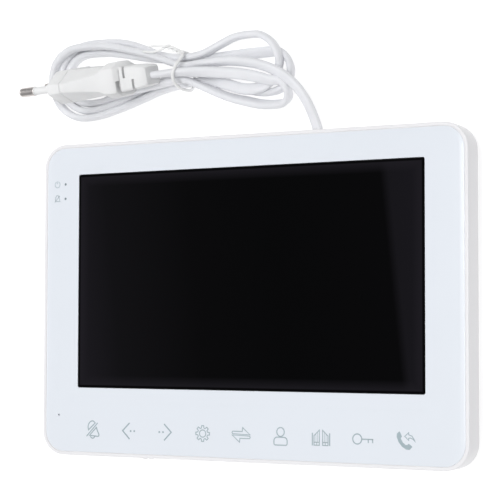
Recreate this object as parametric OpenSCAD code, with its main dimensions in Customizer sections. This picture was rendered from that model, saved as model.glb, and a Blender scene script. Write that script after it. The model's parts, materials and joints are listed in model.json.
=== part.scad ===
// Seven-inch video intercom monitor, lying on its back.
// X runs along the long side, Y towards the top edge, Z out of the display.
// The origin is the middle of the wall bracket's outer face.

/* [Housing] */
// Width of the housing
body_w = 190; // [186:1:200]
// Height of the housing
body_h = 130; // [128:1:140]
// Depth from the wall to the front face
body_t = 20; // [20:0.5:24]
// Radius of the outline's corners
corner_r = 10; // [8:0.5:14]
// Height of the side band, front frame and rear flange together
band_t = 11; // [11:0.5:12]
// Thickness of the moulded walls
wall = 1.8; // [1.6:0.1:2]
// How far the rear box stands in from the outline
rear_inset = 7; // [6:0.5:8]

/* [Front plate] */
// Width of the front frame's rim
rim_w = 1.2; // [1:0.1:1.5]
// Gap between the rim and the front plate
groove_w = 0.4; // [0.3:0.05:0.5]
// Thickness of the front plate
panel_t = 2; // [1.5:0.1:2]
// Width of the display window
window_w = 155; // [150:1:156]
// Height of the display window
window_h = 88.6; // [86:0.2:90]
// Height of the window's middle above the housing's middle
window_y = 7.6; // [6:0.2:9]
// Distance between neighbouring touch keys
key_pitch = 17.5; // [16:0.5:18]
// Height of the row of touch keys
key_y = -54.1; // [-55:0.1:-53]

/* [Bracket] */
// Thickness of the bracket's steel
bracket_t = 1.2; // [1:0.1:1.3]
// Distance between the screws of a flush-mounted wall box
box_pitch = 60; // [60:0.1:60.3]
// Travel that frees the hooks
hook_travel = 5; // [4:0.5:5.5]

/* [Mains lead] */
// Width of the flat lead
lead_w = 4.8; // [4.5:0.1:5.2]
// Thickness of the flat lead
lead_t = 3; // [2.8:0.1:3.2]

/* [Hidden] */
$fn = 48;
eps = 0.01;

// Levels above the wall
rear_z = bracket_t + 0.4;
flange_z = body_t - band_t;
parting_z = flange_z + wall;
front_z = body_t;
panel_z = front_z - panel_t;
seat_z = panel_z - 0.4;
floor_z = rear_z + wall;

// Outline of the front plate and of the cavity behind it
panel_w = body_w - 2 * (rim_w + groove_w);
panel_h = body_h - 2 * (rim_w + groove_w);
panel_r = corner_r - rim_w - groove_w;
box_w = body_w - 2 * rear_inset;
box_h = body_h - 2 * rear_inset;
side_wall = 2.2;
ledge_t = 1.8;

// A nib that bridges the groove at the bottom edge
nib_x = 74;
nib_w = 1.4;

// Places on the front plate
light_x = -84.4;
power_light_y = 48.3;
mute_light_y = 42.2;
light_r = 0.8;
mic_x = -86.9;
mic_y = -48.4;
key_count = 9;
key_board_s = [key_pitch * (key_count - 1) + 14, 11];

// Display module
lcd_w = 165;
lcd_h = 100;
lcd_top_z = panel_z - 0.7;
lcd_t = 4.1;
shield_t = 0.6;

// Slide switch in the bottom wall
switch_x = -46.1;
switch_z = 13;
knob_w = 8;
ridge_pitch = 2.9;
ridge_r = 0.8;
switch_travel = 2;

// Circuit boards: middle, size and underside
board_t = 1.6;
main_c = [-23, 1];
main_s = [78, 58];
main_z = 8.4;
power_c = [47, -14];
power_s = [34, 72];
power_z = 5.4;
power_top = power_z + 1.2;
post_in = 4;
lcd_ribbon_x = -20;
key_ribbon_x = 2;
connector_y = -25;
transformer_c = [47, -8];
transformer_w = 19;
capacitor_c = [47, 11.3];
capacitor_l = 14;

// Speaker behind the rear wall
speaker_c = [-26, -43];
speaker_s = [40, 18];
speaker_t = 5;

// Line sockets
socket_y = 23;
socket_xs = [-14, 2];
socket_s = [13, 7.4];
socket_t = main_z - rear_z - 0.6;
socket_cavity = [11, 5.6];

// Corner screws
screw_x = body_w / 2 - 7.5;
screw_y = body_h / 2 - 7.5;

// Bracket hooks
hook_x = 72;
hook_ys = [38, -34];
hook_w = 10;
hook_reach = 3;
hook_t = 1.2;

// Mains lead: gland, free route, folded part, tie and plug
lead_x = 27;
lead_z = 4.6;
gland_y = 34;
sleeve_l = 22;
channel_w = 16;
tail_y = 22;
clamp_y = 27.5;
clamp_dx = 5.5;
lead_route = [[27, 56, 4.6], [27, 60, 4.6], [26.7, 65, 4.7], [25.2, 70.5, 4.9],
              [22.6, 77, 5.6], [18.9, 83.4, 7], [14.4, 88.2, 8.6]];
hank_left = [-86.5, 94.7];
hank_left_r = 19;
hank_right = [0, 93];
hank_right_r = 16.5;
hank_waist_y = 95;
hank_waist = 15;
hank_low_t = 5.5;
hank_right_t = 12;
hank_high_t = 14.5;
hank_high_x = -44;
tie_x = -33;
tie_wire_r = 0.8;
plug_nose = [-84, 90.4, 17.9];
plug_turn = [14, 0, 2.4];
plug_l = 43;
plug_wide = 35.3;
plug_thick = 13.7;
pin_pitch = 18.6;
pin_r = 2;
pin_l = 19;
pin_sleeve_l = 11.5;
pin_sleeve_r = 1.7;

// A rectangle with round corners, centred
module rounded(w, h, r) {
    square([w - 2 * r, h], center = true);
    square([w, h - 2 * r], center = true);
    for (sx = [-1, 1], sy = [-1, 1])
        translate([sx * (w / 2 - r), sy * (h / 2 - r)]) circle(r = r);
}

// The same as a slab from z0 to z1
module slab(w, h, r, z0, z1) {
    translate([0, 0, z0]) linear_extrude(z1 - z0) rounded(w, h, r);
}

// A box given by its middle in X and Y, its size, and its bottom and top
module block(c, s, z0, z1) {
    translate([c[0] - s[0] / 2, c[1] - s[1] / 2, z0]) cube([s[0], s[1], z1 - z0]);
}

// An upright cylinder from z0 to z1
module post(c, r, z0, z1) {
    translate([c[0], c[1], z0]) cylinder(h = z1 - z0, r = r);
}

// The four corner points of a rectangle of half sizes x and y
function corners(x, y) = [for (sx = [-1, 1], sy = [-1, 1]) [sx * x, sy * y]];

// The screw places of a board
function board_holes(c, s) =
    [for (p = corners(s[0] / 2 - post_in, s[1] / 2 - post_in)) [c[0] + p[0], c[1] + p[1]]];

// The screw places of the lead clamp
function clamp_holes() = [for (sx = [-1, 1]) [lead_x + sx * clamp_dx, clamp_y]];

// A tube swept along points: each ring lies square to the route there, and
// its width lies across the route and ref
function unit(v) = v / norm(v);
function heading(p, i) = unit(p[min(i + 1, len(p) - 1)] - p[max(i - 1, 0)]);
function ring(c, d, r, ry, n, ref) =
    let (side = unit(cross(d, ref)), up = cross(side, d))
    [for (k = [0 : n - 1]) c + side * r * cos(360 * k / n) + up * ry * sin(360 * k / n)];

module sweep(p, r, ry, n = 8, ref = [0, 0, 1]) {
    m = len(p);
    points = [for (i = [0 : m - 1]) each ring(p[i], heading(p, i), r, ry, n, ref)];
    sides = [for (i = [0 : m - 2], k = [0 : n - 1])
        [i * n + k, i * n + (k + 1) % n, (i + 1) * n + (k + 1) % n, (i + 1) * n + k]];
    first = [for (k = [0 : n - 1]) n - 1 - k];
    last = [for (k = [0 : n - 1]) (m - 1) * n + k];
    polyhedron(points = points, faces = concat(sides, [first, last]));
}

// A thin ribbon: a profile in Y and Z, extruded along X
module ribbon(x, w, profile) {
    translate([x + w / 2, 0, 0]) rotate([90, 0, -90]) linear_extrude(w)
        polygon([for (q = profile) [-q[0], q[1]]]);
}

module front_frame() {
    color("white") difference() {
        union() {
            difference() {
                slab(body_w, body_h, corner_r, parting_z, front_z);
                slab(body_w - 2 * rim_w, body_h - 2 * rim_w, corner_r - rim_w, seat_z, front_z + 1);
                slab(box_w, box_h, 4, parting_z - 1, front_z);
                slab(body_w - 2 * side_wall, body_h - 2 * side_wall, corner_r - side_wall,
                     parting_z - 1, seat_z - ledge_t);
            }
            for (p = corners(screw_x, screw_y))
                post(p, 3, parting_z, seat_z - eps);
            block([nib_x, rim_w + 0.15 - body_h / 2], [nib_w, 0.34], seat_z, front_z - 0.3);
        }
        block([0, key_y], key_board_s + [1, 1.2], seat_z - ledge_t - 1, seat_z + eps);
        for (p = corners(screw_x, screw_y))
            post(p, 1.3, parting_z - 1, seat_z - ledge_t);
        post([mic_x, mic_y], 3.4, seat_z - ledge_t - 1, front_z);
        block([switch_x, -body_h / 2], [knob_w + switch_travel + 1, 8],
              switch_z - 1.7, switch_z + 1.7);
    }
}

module front_panel() {
    chamfer = 0.3;
    window_gap = 0.2;
    color("aliceblue") difference() {
        union() {
            slab(panel_w, panel_h, panel_r, panel_z, front_z - chamfer);
            slab(panel_w - 3, panel_h - 3, panel_r - 1.5, panel_z, front_z);
        }
        translate([0, window_y, 0])
            slab(window_w + 2 * window_gap, window_h + 2 * window_gap, 0.8, panel_z - 1, front_z + 1);
        post([mic_x, mic_y], 0.6, panel_z - 1, front_z + 1);
        for (y = [power_light_y, mute_light_y])
            post([light_x, y], light_r + 0.05, panel_z - 1, front_z + 1);
    }
}

module display_window() {
    color("black") translate([0, window_y, 0])
        slab(window_w, window_h, 0.6, panel_z, front_z - 0.05);
}

module window_gasket() {
    color("dimgray") translate([0, window_y, 0]) difference() {
        slab(lcd_w - 2, lcd_h - 2, 1, lcd_top_z, panel_z);
        slab(window_w - 1.5, window_h - 1.5, 1, lcd_top_z - 1, panel_z + 1);
    }
}

// A light pipe with a flange behind the front plate
module light_pipe(y) {
    post([light_x, y], light_r, panel_z - eps, front_z - 0.1);
    post([light_x, y], 1.5, panel_z - 3, panel_z);
}

module power_light_pipe() {
    color("white") light_pipe(power_light_y);
}

module mute_light_pipe() {
    color("white") light_pipe(mute_light_y);
}

module lcd_bezel() {
    sheet_t = 0.3;
    color("silver") translate([0, window_y, 0]) difference() {
        slab(lcd_w, lcd_h, 1, lcd_top_z - lcd_t, lcd_top_z);
        slab(lcd_w - 2 * sheet_t, lcd_h - 2 * sheet_t, 0.7, lcd_top_z - lcd_t - 1,
             lcd_top_z - sheet_t);
        slab(window_w - 0.6, window_h - 0.6, 0.5, lcd_top_z - 1, lcd_top_z + 1);
    }
}

module lcd_glass() {
    color("dimgray") translate([0, window_y, 0])
        slab(lcd_w - 1.4, lcd_h - 1.4, 0.5, lcd_top_z - 1.7, lcd_top_z - 0.35);
}

module lcd_backlight() {
    color("white") translate([0, window_y, 0])
        slab(lcd_w - 1.4, lcd_h - 1.4, 0.5, lcd_top_z - lcd_t + 0.2, lcd_top_z - 1.8);
}

module shield_plate() {
    top = lcd_top_z - lcd_t - 0.1;
    color("lightgray") translate([0, window_y + 1, 0]) difference() {
        slab(lcd_w - 6, lcd_h - 8, 3, top - shield_t, top);
        for (x = [-50, 0, 50])
            post([x, 30], 4, top - 2, top + 1);
    }
}

module key_board() {
    color("darkgreen")
        block([0, key_y], key_board_s, seat_z - 1.3, seat_z - 0.3);
}

module key_pads() {
    color("gold") for (i = [0 : key_count - 1])
        post([(i - (key_count - 1) / 2) * key_pitch, key_y], 5, seat_z - 0.3, panel_z - 0.1);
}

module key_ribbon() {
    color("white") ribbon(key_ribbon_x, 10,
        [[-49, 16.3], [-47, 16.3], [-47, 11.4], [-29, 11.4], [-29, 11.1], [-47.3, 11.1],
         [-47.3, 16], [-49, 16]]);
}

module lcd_ribbon() {
    color("orange") ribbon(lcd_ribbon_x, 24,
        [[-42.6, 14.2], [-45, 14.2], [-45, 11.4], [-29, 11.4], [-29, 11.1], [-45.3, 11.1],
         [-45.3, 14.5], [-42.6, 14.5]]);
}

module mic_boot() {
    color("black") difference() {
        post([mic_x, mic_y], 3.1, panel_z - 4, panel_z - 0.05);
        post([mic_x, mic_y], 2.05, panel_z - 5, panel_z - 1);
        post([mic_x, mic_y], 0.6, panel_z - 2, panel_z + 1);
    }
}

module microphone() {
    color("silver") post([mic_x, mic_y], 2, panel_z - 3.2, panel_z - 1.05);
}

module mic_wires() {
    color("red") for (d = [-0.8, 0.8])
        sweep([[mic_x + d, mic_y, 14.8], [mic_x + d, mic_y, 13.6], [mic_x + d + 0.5, mic_y + 2, 12.4],
               [mic_x + d + 3, mic_y + 9, 11.6], [-76 + d, -30 - d, 11.3], [-68, -23.5 - d, 11.2],
               [-59.2, -17 - d, 11.1]], 0.5, 0.5, 6, [0.8, -0.6, 0]);
}

module power_switch() {
    wall_y = -body_h / 2 + side_wall;
    color("dimgray") difference() {
        translate([switch_x - 7.5, wall_y + 0.1, switch_z - 2.2]) cube([15, 5, 4.4]);
        translate([switch_x - 4, wall_y - 1, switch_z - 1]) cube([8, 3, 2]);
    }
}

// The knob rests at the left end of its slot and slides to the right
module switch_knob() {
    wall_y = -body_h / 2 + side_wall;
    x0 = switch_x - switch_travel / 2;
    color("white") {
        translate([x0 - knob_w / 2, -body_h / 2 + 0.3, switch_z - 1.4])
            cube([knob_w, side_wall - 0.4, 2.8]);
        translate([x0 - 1, wall_y - 0.2, switch_z - 0.7]) cube([2, 2, 1.4]);
        for (dx = [-ridge_pitch / 2, ridge_pitch / 2])
            post([x0 + dx, -body_h / 2 - 0.1], ridge_r, switch_z - 1.2, switch_z + 1.2);
    }
}

module main_board() {
    color("darkgreen") difference() {
        block(main_c, main_s, main_z, main_z + board_t);
        for (p = board_holes(main_c, main_s))
            post(p, 1.4, main_z - 1, main_z + board_t + 1);
    }
}

module processor() {
    color("black") block([-12, 2], [15, 15], main_z + board_t, main_z + board_t + 1.4);
}

module board_parts() {
    top = main_z + board_t;
    color("dimgray") {
        block([-36, 8], [10, 13], top, top + 1.1);
        block([8, 6], [9, 6], top, top + 1.1);
        block([lcd_ribbon_x, connector_y], [26, 5], top, top + 2);
        block([key_ribbon_x, connector_y], [11, 5], top, top + 2);
        block([-57, -17], [4, 6], top, top + 1.9);
        for (x = [-50, -40, -4, 6])
            block([x, -12], [7, 7], main_z - 2.6, main_z);
        for (x = [-54, -46])
            post([x, 16], 2.5, main_z - 3.4, main_z);
    }
}

// A four-pole socket that opens towards the wall
module line_socket(x) {
    z0 = main_z - socket_t;
    color("ivory") difference() {
        block([x, socket_y], socket_s, z0, main_z);
        block([x, socket_y], socket_cavity, z0 - 1, main_z - 1);
    }
    color("silver") for (i = [0 : 3])
        block([x + (i - 1.5) * 2.5, socket_y + 2.2], [0.6, 0.6], z0 + 1.2, main_z - 0.5);
}

module line_socket_1() {
    line_socket(socket_xs[0]);
}

module line_socket_2() {
    line_socket(socket_xs[1]);
}

module speaker() {
    color("dimgray") difference() {
        block(speaker_c, speaker_s, floor_z + 0.6, floor_z + 0.6 + speaker_t);
        block(speaker_c, speaker_s - [5, 5], floor_z, floor_z + 1.6);
    }
}

module speaker_gasket() {
    color("black") difference() {
        block(speaker_c, speaker_s, floor_z, floor_z + 0.6);
        block(speaker_c, speaker_s - [5, 5], floor_z - 1, floor_z + 1);
    }
}

module speaker_wires() {
    color("red") for (d = [0, 1.6])
        sweep([[-10 - d, -38, 9.6], [-10 - d, -34, 9.9], [-10 - d, -31, 9.2], [-9 - d, -28.4, 7.2],
               [-9 - d, -25, 6.6], [-9 - d, -21, 7.4]], 0.5, 0.5, 6, [1, 0, 0]);
}

module power_board() {
    color("peru") difference() {
        block(power_c, power_s, power_z, power_top);
        for (p = board_holes(power_c, power_s))
            post(p, 1.4, power_z - 1, power_z + 3);
        block(transformer_c, [transformer_w + 0.4, 18], power_z - 1, power_z + 3);
        block(capacitor_c, [9, capacitor_l + 0.6], power_z - 1, power_z + 3);
    }
}

module power_parts() {
    color("dimgray") {
        block([40, -27], [8, 10], power_top, power_top + 4);
        block([54, -26], [6, 4], power_top, power_top + 1.4);
        block([34, 3], [4, 8], power_top, power_top + 4.6);
        block([60.5, -24], [5, 12], power_top, power_top + 5);
        block([47, -46], [12, 6], power_top, power_top + 4.4);
        for (x = [40, 54])
            post([x, -37], 3.1, power_top, power_top + 5.4);
    }
}

// A ferrite core in two halves with the winding between them
module transformer() {
    color("khaki") block(transformer_c, [transformer_w, 9], power_z - 1, power_z + 6.6);
    color("dimgray") for (dy = [-6.6, 6.6])
        block(transformer_c + [0, dy], [transformer_w, 4.2], power_z - 1, power_z + 6.6);
}

module bulk_capacitor() {
    color("black") translate([capacitor_c[0], capacitor_c[1] - capacitor_l / 2, power_z + 2.6])
        rotate([-90, 0, 0]) cylinder(h = capacitor_l, r = 4);
}

module mains_fuse() {
    color("ivory") translate([57, 2, power_z + 4]) rotate([-90, 0, 0]) cylinder(h = 12, r = 2.6);
}

// Two conductors from the lead to the power board, and two on to the main board
module power_wires() {
    color("red") for (d = [-1.1, 1.1]) {
        sweep([[lead_x + d, tail_y - 0.02, lead_z], [lead_x + d, tail_y - 1, lead_z],
               [lead_x + d, 19.4, 5.8], [lead_x + 1 + d, 17, 8.4],
               [lead_x + 4.4 + d, 13, 9], [lead_x + 8 + d, 10, 8.6], [lead_x + 8 + d, 9.2, power_top + 0.4]],
              0.7, 0.7, 6, [1, 0.3, 0]);
        sweep([[35.8 + d / 2, -37 + d, power_top + 0.3], [34 + d / 2, -36.6 + d, 8.6],
               [29 + d / 2, -34 + d, 9.6], [24 + d / 2, -29 + d, 9.2], [20 + d, -23 + d / 2, 7.4],
               [17 + d, -18 + d / 2, 7.2], [14 + d, -14.5 + d / 2, 7.2]], 0.6, 0.6, 6, [0.3, 1, 0]);
    }
}

// Small screws that hold the two boards and the lead clamp
module board_screws() {
    color("silver") {
        for (p = board_holes(main_c, main_s)) {
            post(p, 2.2, main_z + board_t, main_z + board_t + 1.2);
            post(p, 1, floor_z + 1, main_z + board_t + eps);
        }
        for (p = board_holes(power_c, power_s)) {
            post(p, 2.2, power_top, power_top + 1.2);
            post(p, 1, floor_z + 0.4, power_top + eps);
        }
        for (p = clamp_holes()) {
            post(p, 1.9, 8.4, 9.4);
            post(p, 1, floor_z + 1, 8.4 + eps);
        }
    }
}

// Slots in front of the speaker and over the warm side of the power board
module vents() {
    for (i = [-4 : 4])
        block([speaker_c[0] + i * 3.6, speaker_c[1]], [1.4, 12], rear_z - 1, floor_z + 0.5);
    for (i = [-5 : 5])
        block([power_c[0], power_c[1] + i * 4], [22, 1.4], rear_z - 1, floor_z + 0.5);
}

module rear_cover() {
    roof_z = lead_z + 3.4;
    color("white") difference() {
        union() {
            difference() {
                union() {
                    slab(box_w, box_h, 8, rear_z, flange_z + eps);
                    slab(body_w - 0.4, body_h - 0.4, corner_r - 0.2, flange_z, parting_z - 0.02);
                }
                slab(box_w - 2 * wall, box_h - 2 * wall, 8 - wall, floor_z, parting_z + 1);
            }
            for (p = board_holes(main_c, main_s))
                post(p, 2.6, floor_z - eps, main_z);
            for (p = board_holes(power_c, power_s))
                post(p, 2.4, floor_z - eps, power_z);
            for (p = clamp_holes())
                post(p, 2.2, floor_z - eps, 6.4);
            block([lead_x, (box_h / 2 + gland_y - wall) / 2],
                  [channel_w + 2 * wall, box_h / 2 - gland_y + wall - 1], floor_z - eps, roof_z + 1.4);
        }
        block([lead_x, gland_y + 20], [channel_w, 40], rear_z - 1, roof_z);
        translate([lead_x, gland_y - wall - 1, lead_z]) rotate([-90, 0, 0])
            cylinder(h = wall + 2, r = 2.6);
        for (p = board_holes(main_c, main_s))
            post(p, 1.1, floor_z + 0.8, main_z + 1);
        for (p = board_holes(power_c, power_s))
            post(p, 1.1, floor_z + 0.2, power_z + 1);
        for (p = clamp_holes())
            post(p, 1.1, floor_z + 0.8, 7);
        block([lead_x, (tail_y + gland_y) / 2], [lead_w + 0.6, gland_y - tail_y + 1],
              lead_z - lead_t / 2 - 0.2, lead_z);
        for (p = corners(screw_x, screw_y))
            post(p, 1.4, flange_z - 1, parting_z + 1);
        for (x = [-hook_x, hook_x], y = hook_ys)
            translate([x - hook_w / 2 - 0.5, y - hook_travel - hook_t - 1, rear_z - 1])
                cube([hook_w + 1, hook_travel + hook_t + 1.2, wall + 2]);
        block([(socket_xs[0] + socket_xs[1]) / 2, socket_y],
              [socket_xs[1] - socket_xs[0] + socket_s[0] + 1, socket_s[1] + 1], rear_z - 1, floor_z + 1);
        vents();
    }
}

module case_screws() {
    color("silver") for (p = corners(screw_x, screw_y)) {
        difference() {
            post(p, 2.3, flange_z - 1.4, flange_z);
            block(p, [2.6, 0.6], flange_z - 2, flange_z - 0.8);
            block(p, [0.6, 2.6], flange_z - 2, flange_z - 0.8);
        }
        post(p, 1.25, flange_z - eps, seat_z - ledge_t - 0.3);
    }
}

// Two holes in line match a wall box, four round holes go straight to the wall
module wall_bracket() {
    color("lightgray") {
        difference() {
            slab(158, 96, 5, 0, bracket_t);
            translate([0, 5.5, 0]) slab(box_pitch - 14, 45, 4, -1, bracket_t + 1);
            block([speaker_c[0], -44], [36, 16], -1, bracket_t + 1);
            block([power_c[0], power_c[1]], [18, 40], -1, bracket_t + 1);
            for (p = corners(58, 38))
                post(p, 2.25, -1, bracket_t + 1);
            for (sx = [-1, 1])
                translate([sx * box_pitch / 2, 0, -1]) linear_extrude(bracket_t + 2) {
                    square([5.8, 4.2], center = true);
                    for (dx = [-2.9, 2.9])
                        translate([dx, 0]) circle(r = 2.1);
                }
            block([lead_x, 48], [channel_w, 32], -1, bracket_t + 1);
        }
        for (x = [-hook_x, hook_x], y = hook_ys)
            translate([x - hook_w / 2, y - hook_t - 0.2, bracket_t - eps]) {
                cube([hook_w, hook_t, floor_z + 0.3 + hook_t - bracket_t]);
                translate([0, 0, floor_z + 0.3 - bracket_t])
                    cube([hook_w, hook_t + hook_reach + 0.2, hook_t]);
            }
    }
}

// Tapered sleeve in the channel, with a collar against the channel's end
module lead_sleeve() {
    color("white") translate([lead_x, gland_y, lead_z]) rotate([-90, 0, 0]) {
        cylinder(h = 2, r = 3.3);
        translate([0, 0, 2 - eps]) cylinder(h = sleeve_l - 2, r1 = 3, r2 = 2.6);
    }
}

module lead_clamp() {
    color("ivory") difference() {
        block([lead_x, clamp_y], [2 * clamp_dx + 4.5, 5], 6.42, 8.38);
        for (p = clamp_holes())
            post(p, 1.1, 6, 9);
    }
}

// The sheathed end of the lead, inside the housing
module lead_tail() {
    color("white") translate([lead_x, tail_y, lead_z]) rotate([-90, 0, 0])
        linear_extrude(gland_y - tail_y - 0.02) {
            square([lead_w - lead_t, lead_t], center = true);
            for (dx = [-1, 1])
                translate([dx * (lead_w - lead_t) / 2, 0]) circle(d = lead_t);
        }
}

module mains_lead() {
    color("white") sweep(lead_route, lead_w / 2, lead_t / 2, 10);
}

// Outer shape of the folded lead: a loop at each end and a narrow waist
module lead_hank() {
    color("whitesmoke") {
        difference() {
            linear_extrude(hank_low_t) {
                translate(hank_left) circle(r = hank_left_r);
                translate([hank_left[0], hank_waist_y - 13]) square([30, 26]);
                translate(hank_right) circle(r = hank_right_r);
                translate([hank_left[0], hank_waist_y - hank_waist / 2])
                    square([hank_right[0] - hank_left[0], hank_waist]);
            }
            translate([0, 0, -1]) linear_extrude(hank_low_t + 2) {
                translate([hank_left[0] + 5, hank_left[1]]) circle(r = 8);
                translate([hank_left[0] + 5, hank_left[1] - 8]) square([19, 16]);
            }
        }
        translate([hank_right[0], hank_right[1], hank_low_t - eps])
            cylinder(h = hank_right_t - hank_low_t, r = hank_right_r);
        translate([hank_high_x, hank_waist_y - hank_waist / 2, hank_low_t - eps])
            cube([hank_right[0] - hank_high_x, hank_waist, hank_high_t - hank_low_t]);
    }
}

// A wire tie round the waist, with its twisted ends on top
module twist_tie() {
    tie_w = hank_waist + 1.8;
    tie_h = hank_high_t + 0.8;
    color("white") {
        translate([tie_x, hank_waist_y, 0]) rotate([90, 0, 90]) translate([0, 0, -tie_wire_r])
            difference() {
                linear_extrude(2 * tie_wire_r)
                    translate([0, tie_h / 2 + 0.8]) rounded(tie_w, tie_h, 6);
                translate([0, 0, -1]) linear_extrude(2 * tie_wire_r + 2)
                    translate([0, tie_h / 2 + 0.8])
                        rounded(tie_w - 2 * tie_wire_r, tie_h - 2 * tie_wire_r, 5.2);
            }
        sweep([[tie_x, hank_waist_y + 7, 14], [tie_x - 2, hank_waist_y + 8.5, 15],
               [tie_x - 7, hank_waist_y + 10.5, 14.8], [tie_x - 12, hank_waist_y + 11, 13.6]],
              1.1, 1.1, 8);
    }
}

// Everything on the plug is drawn from its pin face at zero, towards the lead
module on_plug() {
    translate(plug_nose) rotate(plug_turn) children();
}

// A six-sided slice of the plug: narrow flats at the ends of its long side
module plug_slice(x, wide, thick, flat) {
    translate([x, 0, 0]) rotate([90, 0, 90]) linear_extrude(0.02)
        polygon([[flat, wide / 2], [thick / 2, wide / 4], [thick / 2, -wide / 4],
                 [flat, -wide / 2], [-flat, -wide / 2], [-thick / 2, -wide / 4],
                 [-thick / 2, wide / 4], [-flat, wide / 2]]);
}

module plug_body() {
    color("whitesmoke") on_plug() {
        hull() {
            plug_slice(0, plug_wide, plug_thick, 2);
            plug_slice(6, plug_wide, plug_thick, 2);
        }
        hull() {
            plug_slice(6, plug_wide - 1, plug_thick - 0.8, 2);
            plug_slice(22, 22, 13.4, 4);
        }
        hull() {
            plug_slice(22, 22, 13.4, 4);
            plug_slice(26, 19, 15, 5);
        }
        translate([25.9, -5.6, -6]) cube([4, 11.2, 12]);
        translate([29.8, -4.8, -5]) cube([8, 9.6, 10]);
        translate([37.7, -4.2, -3.6]) cube([plug_l - 37.7, 8.4, 7.2]);
    }
}

module plug_sleeves() {
    color("whitesmoke") on_plug() for (s = [-1, 1])
        translate([0, 0, s * pin_pitch / 2]) rotate([0, -90, 0]) cylinder(h = pin_sleeve_l, r = pin_sleeve_r);
}

module plug_tips() {
    color("silver") on_plug() for (s = [-1, 1])
        translate([-pin_sleeve_l, 0, s * pin_pitch / 2]) rotate([0, -90, 0]) {
            cylinder(h = pin_l - pin_sleeve_l - 1, r = pin_r);
            translate([0, 0, pin_l - pin_sleeve_l - 1 - eps]) cylinder(h = 1, r1 = pin_r, r2 = pin_r - 0.8);
        }
}

front_frame();
front_panel();
display_window();
window_gasket();
power_light_pipe();
mute_light_pipe();
lcd_bezel();
lcd_glass();
lcd_backlight();
shield_plate();
key_board();
key_pads();
key_ribbon();
lcd_ribbon();
mic_boot();
microphone();
mic_wires();
power_switch();
switch_knob();
main_board();
processor();
board_parts();
line_socket_1();
line_socket_2();
speaker();
speaker_gasket();
speaker_wires();
power_board();
power_parts();
transformer();
bulk_capacitor();
mains_fuse();
power_wires();
board_screws();
rear_cover();
case_screws();
wall_bracket();
lead_sleeve();
lead_clamp();
lead_tail();
mains_lead();
lead_hank();
twist_tie();
plug_body();
plug_sleeves();
plug_tips();
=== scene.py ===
"""A seven-inch video intercom monitor lying on its back, with its tied mains lead."""
import json
import math

import bpy
from mathutils import Matrix, Vector


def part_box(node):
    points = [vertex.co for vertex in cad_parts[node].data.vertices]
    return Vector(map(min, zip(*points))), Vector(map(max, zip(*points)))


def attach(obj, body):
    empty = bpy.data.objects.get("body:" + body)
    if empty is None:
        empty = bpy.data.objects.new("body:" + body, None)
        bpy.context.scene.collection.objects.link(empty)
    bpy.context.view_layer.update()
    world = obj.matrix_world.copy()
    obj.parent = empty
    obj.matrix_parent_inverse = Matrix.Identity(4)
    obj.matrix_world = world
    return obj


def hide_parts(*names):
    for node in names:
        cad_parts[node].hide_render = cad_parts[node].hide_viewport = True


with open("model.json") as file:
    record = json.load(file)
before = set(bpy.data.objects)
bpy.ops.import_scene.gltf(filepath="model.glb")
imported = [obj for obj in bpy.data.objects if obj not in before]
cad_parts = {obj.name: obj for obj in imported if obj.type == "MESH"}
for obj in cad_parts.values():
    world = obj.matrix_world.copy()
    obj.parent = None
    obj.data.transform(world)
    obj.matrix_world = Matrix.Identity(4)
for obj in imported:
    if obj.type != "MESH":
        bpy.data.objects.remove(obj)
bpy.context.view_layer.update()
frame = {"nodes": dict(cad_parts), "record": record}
scene = bpy.context.scene
MM = 0.001

# The front of the housing, in millimetres. Z is zero on the surface that it lies on.
BODY_W, BODY_H, CORNER_R = 190.0, 130.0, 10.0
FRONT_Z, PANEL_Z, SEAT_Z = 20.0, 18.0, 17.6
PARTING_Z, LEDGE_Z = 10.8, 15.8
RIM_W, GROOVE_W = 1.4, 0.2
SCREW_X, SCREW_Y = 87.5, 57.5
WINDOW_W, WINDOW_H, WINDOW_Y = 155.0, 88.6, 7.6
KEY_PITCH, KEY_X, KEY_Y = 17.43, -0.2, -54.2
MARK_X = -88.5
LIGHT_X, POWER_Y, MUTE_Y = -84.4, 48.3, 42.2
LIGHT_HOLE_R = 0.52
KNOB_TRAVEL = 2
NIB_X = 74
MIC = (-86.9, -48.4)
MIC_HOLE_R = 0.42


# ---------------------------------------------------------------- mesh tools

def mesh_object(name, points, faces, smooth_angle=35):
    """A mesh from points in millimetres, shaded smooth up to an angle between faces."""
    mesh = bpy.data.meshes.new(name)
    mesh.from_pydata([Vector(p) * MM for p in points], [], faces)
    mesh.validate()
    obj = bpy.data.objects.new(name, mesh)
    scene.collection.objects.link(obj)
    shade(obj, smooth_angle)
    return obj


def shade(obj, angle=35):
    obj.data.shade_smooth()
    obj.data.set_sharp_from_angle(angle=math.radians(angle))


def apply_modifiers(obj, angle=35):
    graph = bpy.context.evaluated_depsgraph_get()
    mesh = bpy.data.meshes.new_from_object(obj.evaluated_get(graph))
    obj.modifiers.clear()
    obj.data = mesh
    shade(obj, angle)


def cut(obj, cutters, angle=35):
    """Takes the cutters away from the object, and removes them."""
    for cutter in cutters:
        modifier = obj.modifiers.new("cut", "BOOLEAN")
        modifier.operation = "DIFFERENCE"
        modifier.solver = "EXACT"
        modifier.object = cutter
    apply_modifiers(obj, angle)
    for cutter in cutters:
        bpy.data.objects.remove(cutter)


def round_edges(obj, width, segments=3, angle=35):
    bevel = obj.modifiers.new("round", "BEVEL")
    bevel.width = width * MM
    bevel.segments = segments
    bevel.limit_method = "ANGLE"
    bevel.angle_limit = math.radians(angle)
    apply_modifiers(obj, angle)


def join(name, objects):
    """One object from several, with one name."""
    points, faces = [], []
    for obj in objects:
        start = len(points)
        points += [v.co / MM for v in obj.data.vertices]
        faces += [[start + i for i in p.vertices] for p in obj.data.polygons]
        bpy.data.objects.remove(obj)
    return mesh_object(name, points, faces)


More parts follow.
